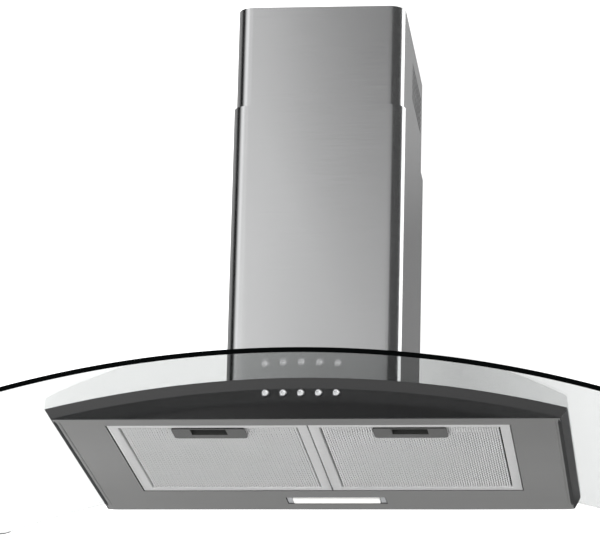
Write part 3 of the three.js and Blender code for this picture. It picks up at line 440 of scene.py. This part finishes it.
def strand(points, verts, faces):
    """Flat wire along points, with a rectangular section that leans across by the strand's rise."""
    first = len(verts)
    lean = -STRAND_RISE / 2
    for x, y, z in points:
        for across, up in ((-1, -1), (1, -1), (1, 1), (-1, 1)):
            verts.append((x + across * STRAND_WIDTH / 2, y, z + up * STRAND_THICKNESS / 2 + across * lean))
    for i in range(len(points) - 1):
        a = first + 4 * i
        for k in range(4):
            b = (k + 1) % 4
            faces.append((a + k, a + b, a + 4 + b, a + 4 + k))
    last = first + 4 * (len(points) - 1)
    faces.append((first + 3, first + 2, first + 1, first))
    faces.append((last, last + 1, last + 2, last + 3))


def expanded_layer(x0, x1, y0, y1, level, verts, faces):
    """Expanded metal: strands run front to back and touch a neighbour at each bond, at height level(y)."""
    columns = max(2, round((x1 - x0 - STRAND_WIDTH) / STRAND_PITCH))
    pitch = (x1 - x0 - STRAND_WIDTH) / columns
    cells = max(1, round((y1 - y0) / CELL_LENGTH))
    reach = (pitch - STRAND_WIDTH) / 2 + BOND_OVERLAP
    for c in range(columns):
        middle = x0 + STRAND_WIDTH / 2 + pitch * (c + 0.5)
        places = []
        for i in range(cells + 1):
            y = y0 + (y1 - y0) * i / cells
            side = 1 if (i + c) % 2 else -1
            places += [(y - BOND_TAPER, 0.0), (y, side * reach), (y + BOND_TAPER, 0.0)]
        inside = places[1:-1]
        strand([(middle + offset, y, level(y)) for y, offset in inside], verts, faces)


def filter_pad(side):
    """Layers of expanded aluminium: a flat one below, a crimped one inside and a flat one above."""
    node = f"filter_{side}_mesh"
    low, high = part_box(node)
    x0, x1 = low.x + PAD_INSET, high.x - PAD_INSET
    y0, y1 = low.y + PAD_INSET, high.y - PAD_INSET
    edge = STRAND_RISE / 2 + STRAND_THICKNESS / 2
    bottom, top = low.z + edge, high.z - edge
    reach = top - bottom - 2 * (STRAND_RISE + STRAND_THICKNESS)

    def crimped(y):
        phase = ((y - y0) / CRIMP_PITCH) % 1.0
        return bottom + STRAND_RISE + STRAND_THICKNESS + reach * abs(2 * phase - 1)

    verts, faces = [], []
    cup = pocket_box(side)
    for level in (lambda y: bottom, crimped, lambda y: top):
        for patch in around(x0, x1, y0, y1, cup):
            expanded_layer(*patch, level, verts, faces)
    mesh = bpy.data.meshes.new(node)
    mesh.from_pydata(verts, [], faces)
    piece(f"filter_{side}_expanded_mesh", mesh, BODY_OF[node], "filter_aluminium", [node])


def pocket_box(side):
    """Plan of the finger pocket's cup: the part of the handle that stands above its plate."""
    obj = NODES[f"filter_{side}_handle"]
    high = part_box(f"filter_{side}_handle")[1]
    tall = [v.co for v in obj.data.vertices if v.co.z > high.z - CUP_TOP]
    left, right = min(v.x for v in tall), max(v.x for v in tall)
    return (left - CUP_MARGIN, right + CUP_MARGIN, max(v.y for v in tall) + CUP_MARGIN)


def around(x0, x1, y0, y1, cup):
    """The pad's plan as rectangles left of, right of and behind the cup."""
    cup_left, cup_right, cup_rear = cup
    return [(x0, cup_left, y0, cup_rear), (cup_right, x1, y0, cup_rear), (x0, x1, cup_rear, y1)]


def bead(name, side, inset, width, drop, slot):
    """Half-round strip with round ends under one side of the bottom panel, inset from the panel's side."""
    low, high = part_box("bottom_panel")
    middle = low.x + inset if side == "left" else high.x - inset
    y0, y1 = low.y + BEAD_FRONT_MARGIN, high.y - BEAD_REAR_MARGIN
    bm = bmesh.new()
    rows = []
    for i in range(BEAD_STEPS + 1):
        y = y0 + (y1 - y0) * i / BEAD_STEPS
        from_end = min((y - y0) / width, (y1 - y) / width, 1.0)
        swell = BEAD_TIP + (1 - BEAD_TIP) * math.sqrt(1 - (1 - from_end) ** 2)
        row = []
        for k in range(BEAD_ARC + 1):
            turn = math.pi * k / BEAD_ARC
            x = middle - math.cos(turn) * width / 2 * swell
            z = low.z + BEAD_BITE - math.sin(turn) * (drop + BEAD_BITE) * swell
            row.append(bm.verts.new((x, y, z)))
        rows.append(row)
    for a, b in zip(rows, rows[1:]):
        for k in range(BEAD_ARC):
            bm.faces.new((a[k], a[k + 1], b[k + 1], b[k]))
        bm.faces.new((a[BEAD_ARC], a[0], b[0], b[BEAD_ARC]))
    bm.faces.new(rows[0])
    bm.faces.new(rows[-1][::-1])
    strip = piece(name, closed_mesh(bm, name, smooth=True), "hood_body", slot)
    strip.modifiers.new("split", "EDGE_SPLIT").split_angle = SHARP_ANGLE


def fascia_shade_strip():
    """Thin black round-nosed strip along the fascia's lower edge: a dark piece put as painted shade where the
    gap between the fascia and the bottom panel lies in shadow.
    """
    low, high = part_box("fascia")
    front = high.y - FASCIA_THICKNESS
    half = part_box("bottom_panel")[1].x + SHADE_STRIP_OVERLAP
    bm = bmesh.new()
    ends = []
    for x in (-half, half):
        ends.append([bm.verts.new((x, front + y, low.z + z)) for y, z in SHADE_STRIP_SECTION])
    for k in range(len(SHADE_STRIP_SECTION)):
        j = (k + 1) % len(SHADE_STRIP_SECTION)
        bm.faces.new((ends[0][k], ends[0][j], ends[1][j], ends[1][k]))
    bm.faces.new(ends[0])
    bm.faces.new(ends[1][::-1])
    piece("fascia_shade_strip", closed_mesh(bm, "fascia_shade_strip", smooth=False), "hood_body", "black_plastic")


for side_name in ("left", "right"):
    filter_pad(side_name)
    bead(f"panel_rim_{side_name}", side_name, RIM_INSET, RIM_WIDTH, RIM_DROP, "panel_steel")
    bead(f"side_trim_{side_name}", side_name, TRIM_INSET, TRIM_WIDTH, TRIM_DROP, "fascia_black")
# Black strip as painted shade in the shadow gap under the fascia.
fascia_shade_strip()


def lathe(name, profile, centre, segments=56):
    """Turned about the Y direction. profile is (radius, y) from the axis to the axis."""
    bm = bmesh.new()
    rings = []
    for radius, y in profile:
        if radius < 1e-7:
            rings.append([bm.verts.new((centre.x, y, centre.z))])
            continue
        turns = [2 * math.pi * i / segments for i in range(segments)]
        rings.append([
            bm.verts.new((centre.x + radius * math.cos(t), y, centre.z + radius * math.sin(t))) for t in turns
        ])
    for a, b in zip(rings, rings[1:]):
        for i in range(segments):
            j = (i + 1) % segments
            loop = [a[i % len(a)], a[j % len(a)], b[j % len(b)], b[i % len(b)]]
            bm.faces.new(list(dict.fromkeys(loop)))
    return closed_mesh(bm, name, smooth=True)


def button(number):
    """Chrome push button with a dished face inside a raised ring, over a black bezel on the fascia."""
    node = f"button_{number}"
    low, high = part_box(node)
    centre = (low + high) / 2
    face = low.y
    flange = (high.x - low.x) / 2
    radius = flange - FLANGE_WIDTH
    fascia_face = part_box("fascia")[1].y - FASCIA_THICKNESS
    front, rear, stem = high.y - FLANGE_FRONT, high.y - FLANGE_REAR, radius * STEM_SHARE
    profile = [(radius * share, face + depth) for share, depth in CAP_FACE]
    profile += [(radius, front), (flange, front), (flange, rear), (stem, rear), (stem, high.y), (0, high.y)]
    cap = f"{node}_cap"
    shape = piece(cap, lathe(cap, profile, centre), BODY_OF[node], "button_chrome", [node])
    shape.modifiers.new("split", "EDGE_SPLIT").split_angle = CAP_ANGLE
    inner, outer = radius + BEZEL_CLEARANCE, radius + BEZEL_REACH
    ring = [
        (inner, fascia_face), (inner, fascia_face - 0.0006), (inner + 0.0002, fascia_face - 0.0008),
        (outer - 0.0003, fascia_face - 0.0006), (outer, fascia_face - 0.0002), (outer, fascia_face),
        (inner, fascia_face),
    ]
    bezel = piece(f"{node}_bezel", lathe(f"{node}_bezel", ring, centre), "hood_body", "black_plastic")
    bezel.modifiers.new("split", "EDGE_SPLIT").split_angle = SHARP_ANGLE


for index in range(BUTTON_COUNT):
    button(index + 1)


# ------------------------------------------------------------------ studio
def shape_curve(node, places):
    """Straight segments through the places, each (share along, share of the peak)."""
    points = node.mapping.curves[0].points
    points[0].location, points[1].location = places[0], places[-1]
    for place in places[1:-1]:
        points.new(*place)
    for point in points:
        point.handle_type = "VECTOR"
    node.mapping.update()


def background(tree, value, span, points):
    """Background shader whose glow follows points while value runs over span."""
    share = tree.nodes.new("ShaderNodeMapRange")
    share.inputs["From Min"].default_value, share.inputs["From Max"].default_value = span
    tree.links.new(value, share.inputs["Value"])
    curve = tree.nodes.new("ShaderNodeFloatCurve")
    shape_curve(curve, points)
    tree.links.new(share.outputs["Result"], curve.inputs["Value"])
    shader = tree.nodes.new("ShaderNodeBackground")
    shader.inputs["Strength"].default_value = CURVE_PEAK
    tree.links.new(curve.outputs[0], shader.inputs["Color"])
    return shader.outputs[0]


def world_math(tree, operation, a, b):
    node = tree.nodes.new("ShaderNodeMath")
    node.operation = operation
    for socket, value in zip(node.inputs, (a, b)):
        if isinstance(value, float):
            socket.default_value = value
        else:
            tree.links.new(value, socket)
    return node.outputs[0]


def world():
    """Studio light by azimuth, with a white backdrop for what is looked at directly or through the glass."""
    scene_world = bpy.data.worlds.new("studio")
    bpy.context.scene.world = scene_world
    scene_world.use_nodes = True
    tree = scene_world.node_tree
    tree.nodes.clear()
    coordinate = tree.nodes.new("ShaderNodeTexCoord")
    split = tree.nodes.new("ShaderNodeSeparateXYZ")
    tree.links.new(coordinate.outputs["Generated"], split.inputs[0])
    forward = world_math(tree, "MULTIPLY", split.outputs["Y"], -1.0)
    azimuth = world_math(tree, "ARCTAN2", split.outputs["X"], forward)
    around_points = [((degrees + 180) / 360, value / CURVE_PEAK) for degrees, value in STUDIO]
    studio = background(tree, azimuth, (-math.pi, math.pi), around_points)
    low, high = BACKDROP_SPAN
    behind_points = [((x - low) / (high - low), value / CURVE_PEAK) for x, value in BACKDROP]
    backdrop = background(tree, split.outputs["X"], BACKDROP_SPAN, behind_points)
    rays = tree.nodes.new("ShaderNodeLightPath")
    seen = world_math(tree, "MAXIMUM", rays.outputs["Is Camera Ray"], rays.outputs["Is Transmission Ray"])
    mix = tree.nodes.new("ShaderNodeMixShader")
    for socket, value in zip(mix.inputs, (seen, studio, backdrop)):
        tree.links.new(value, socket)
    out = tree.nodes.new("ShaderNodeOutputWorld")
    tree.links.new(mix.outputs[0], out.inputs["Surface"])


def floor():
    bm = bmesh.new()
    bmesh.ops.create_grid(bm, x_segments=1, y_segments=1, size=FLOOR_HALF)
    mesh = bpy.data.meshes.new("floor")
    bm.to_mesh(mesh)
    bm.free()
    obj = bpy.data.objects.new("floor", mesh)
    obj.location.z = FLOOR_Z
    bpy.context.scene.collection.objects.link(obj)
    n = Nodes("floor")
    n.to("Base Color", n.mixed(n.noise((0.8, 0.8, 0.8)), (0.82, 0.82, 0.82), (0.86, 0.86, 0.86)))
    n.set(Roughness=0.7)
    mesh.materials.append(n.material)


def card(name, xs, y, zs, fade, foot, top):
    """Glowing card that shows only in reflections. Its glow along X turns from foot to top over the fade."""
    (x0, x1), (z0, z1) = xs, zs
    mesh = bpy.data.meshes.new(name)
    mesh.from_pydata([(x0, y, z0), (x1, y, z0), (x1, y, z1), (x0, y, z1)], [], [(3, 2, 1, 0)])
    obj = bpy.data.objects.new(name, mesh)
    bpy.context.scene.collection.objects.link(obj)
    n = Nodes(name)
    split = n.new("ShaderNodeSeparateXYZ")
    n.link(n.place(), split.inputs[0])
    along = n.ranged(split.outputs["X"], 0, 1, x0, x1)
    mix = n.new("ShaderNodeMix")
    n.link(n.ranged(split.outputs["Z"], 0, 1, *fade), mix.inputs[0])
    for places, socket in ((foot, 2), (top, 3)):
        curve = n.new("ShaderNodeFloatCurve")
        shape_curve(curve, [((x - x0) / (x1 - x0), glow / CURVE_PEAK) for x, glow in places])
        n.link(along, curve.inputs["Value"])
        n.link(curve.outputs[0], mix.inputs[socket])
    glow = n.new("ShaderNodeEmission")
    n.link(n.math("MULTIPLY", mix.outputs[0], CURVE_PEAK), glow.inputs["Strength"])
    n.link(glow.outputs[0], n.tree.nodes["Material Output"].inputs["Surface"])
    mesh.materials.append(n.material)
    obj.visible_camera = obj.visible_transmission = obj.visible_shadow = obj.visible_diffuse = False


def softbox(name, place, target, width, height, power):
    data = bpy.data.lights.new(name, "AREA")
    data.shape = "RECTANGLE"
    data.size, data.size_y, data.energy = width, height, power
    obj = bpy.data.objects.new(name, data)
    obj.location = place
    obj.rotation_euler = (Vector(target) - Vector(place)).to_track_quat("-Z", "Y").to_euler()
    obj.visible_camera = False
    bpy.context.scene.collection.objects.link(obj)


def camera():
    yaw, pitch, roll = CAMERA_YAW, CAMERA_PITCH, CAMERA_ROLL
    ahead = Vector((math.sin(yaw) * math.cos(pitch), math.cos(yaw) * math.cos(pitch), math.sin(pitch)))
    right = Vector((math.cos(yaw), -math.sin(yaw), 0))
    up = right.cross(ahead)
    across = math.cos(roll) * right + math.sin(roll) * up
    above = -math.sin(roll) * right + math.cos(roll) * up
    data = bpy.data.cameras.new("camera")
    data.lens, data.sensor_width, data.sensor_fit = CAMERA_LENS, SENSOR_WIDTH, "HORIZONTAL"
    data.clip_end = 100
    obj = bpy.data.objects.new("camera", data)
    turn = Matrix((across, above, -ahead)).transposed().to_4x4()
    obj.matrix_world = Matrix.Translation(CAMERA_PLACE) @ turn
    bpy.context.scene.collection.objects.link(obj)
    bpy.context.scene.camera = obj


world()
floor()
for card_name, values in CARDS.items():
    card(card_name, *values)
for box_name, values in SOFTBOXES.items():
    softbox(box_name, *values)
camera()
bpy.context.scene.view_settings.view_transform = "Standard"
